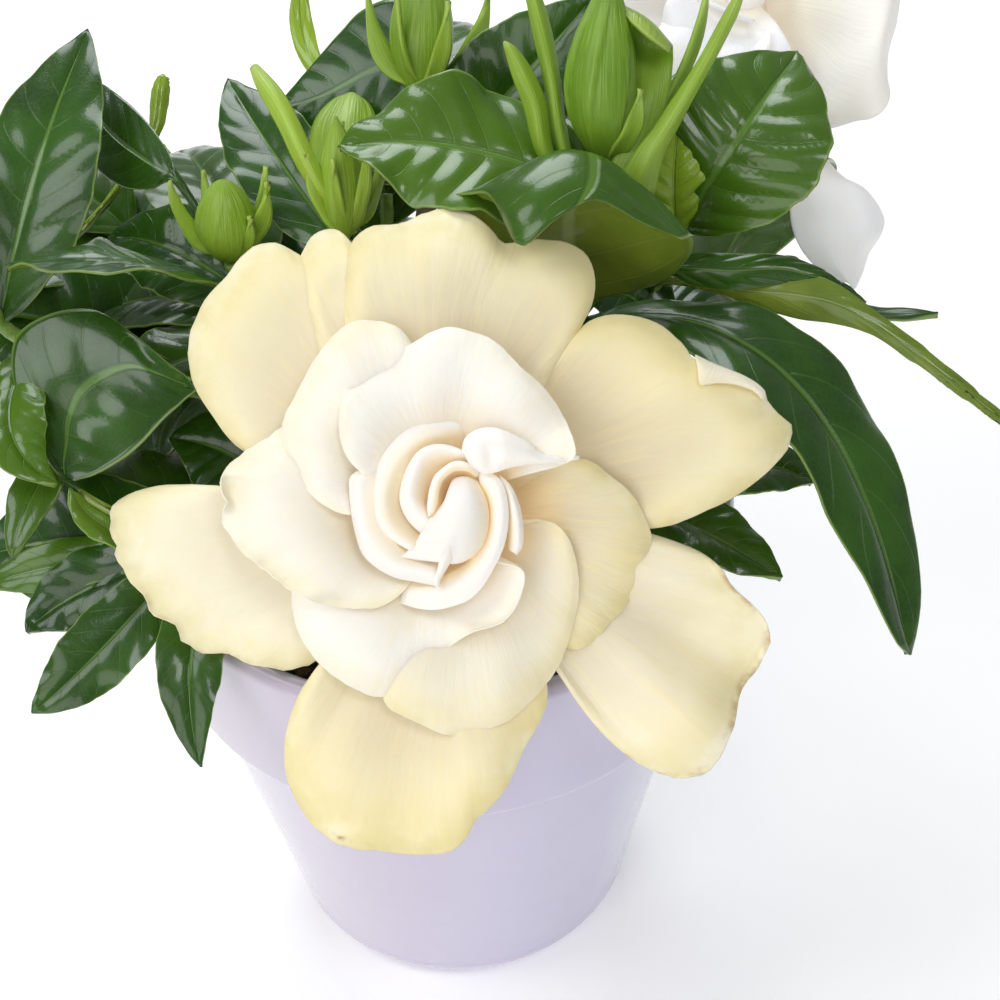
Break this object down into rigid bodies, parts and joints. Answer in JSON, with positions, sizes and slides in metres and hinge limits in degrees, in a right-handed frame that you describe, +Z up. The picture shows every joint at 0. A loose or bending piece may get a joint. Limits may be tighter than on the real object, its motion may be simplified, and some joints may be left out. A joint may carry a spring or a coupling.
{
  "type": "potted gardenia",
  "caption": "Double-flowered gardenia in a glazed tapered pot with a deep rim band: cream bloom leaning forward, white bloom behind, green buds and glossy leaves on woody stems.",
  "frame": {"origin": "centre of the pot's base, on the surface that it stands on", "axes": "+Z up along the pot's axis; the large front bloom looks towards -Y and up; +X is to the right as one faces that bloom"},
  "size_m": [0.2117, 0.1822, 0.1922],
  "materials": {
    "glaze": "gloss",
    "soil": "matte",
    "bark": "matte",
    "leaf": "gloss",
    "bud": "satin",
    "cream_petal": "satin",
    "white_petal": "satin"
  },
  "bodies": {
    "root": {"pot": "glaze", "soil": "soil", "wood": "bark", "shoot_left": "leaf", "shoot_left_front": "leaf", "shoot_left_back": "leaf", "shoot_cluster": "leaf", "shoot_centre": "leaf", "shoot_right": "leaf", "shoot_right_low": "leaf", "shoot_right_mid": "leaf", "shoot_right_back": "leaf", "shoot_back": "leaf", "shoot_back_left": "leaf", "shoot_back_right": "leaf", "bud_right": "bud", "bud_centre": "bud", "bud_left": "bud", "bud_cluster": "bud", "bloom_front": "cream_petal", "calyx_front": "bud", "bloom_back": "white_petal", "calyx_back": "bud"}
  },
  "joints": []
}
